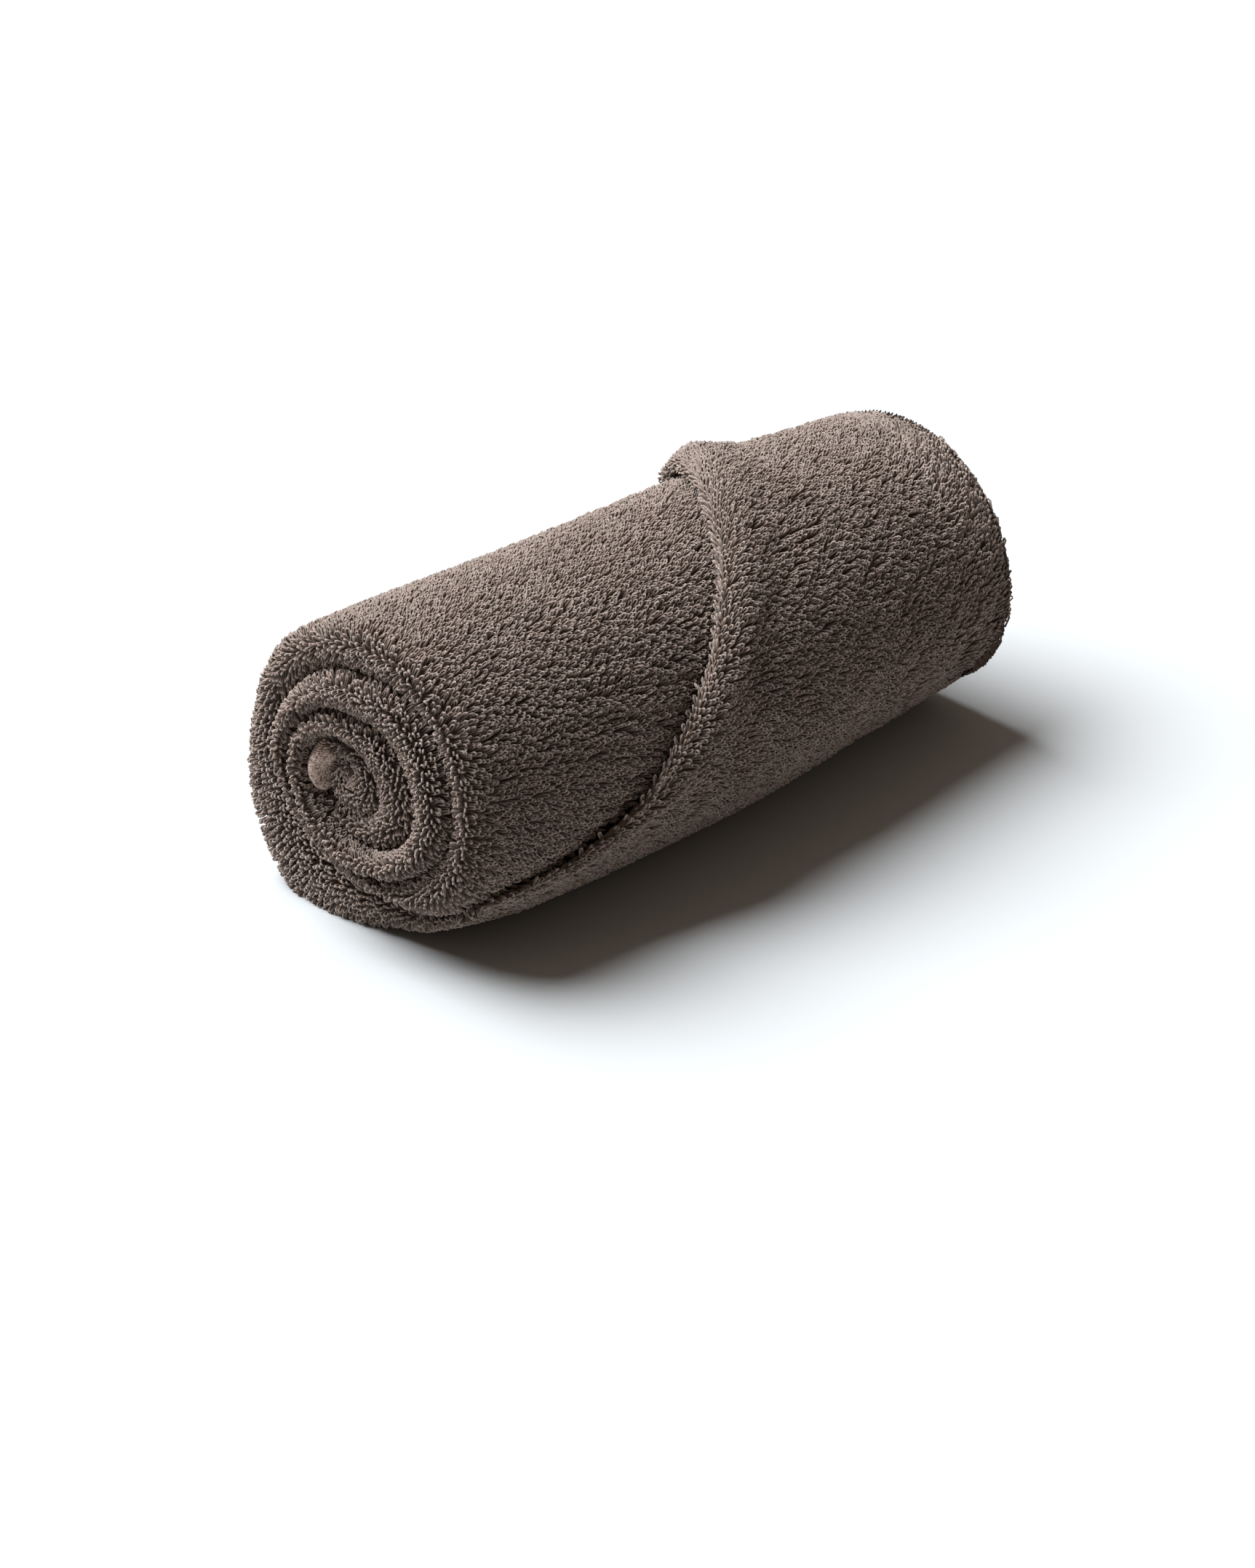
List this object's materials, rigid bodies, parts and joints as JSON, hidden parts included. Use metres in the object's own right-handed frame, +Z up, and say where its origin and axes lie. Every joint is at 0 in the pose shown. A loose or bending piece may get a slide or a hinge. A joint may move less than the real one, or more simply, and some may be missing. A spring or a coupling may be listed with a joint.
{
  "type": "rolled face towel",
  "caption": "Terry face towel folded lengthwise and rolled up, lying on its side, with a spiral end and a slanted folded edge that climbs round the roll.",
  "frame": {"origin": "on the ground, under the middle of the roll's bounding box", "axes": "+X along the roll from the end that shows the spiral of folds to the rounded end, +Y to the back, +Z up; the slanted edge crosses the front (-Y) side"},
  "size_m": [0.1792, 0.0879, 0.0794],
  "materials": {
    "terry_cloth": "soft looped cotton pile, dark brown"
  },
  "bodies": {
    "root": {"towel_roll": "terry_cloth"}
  },
  "joints": []
}
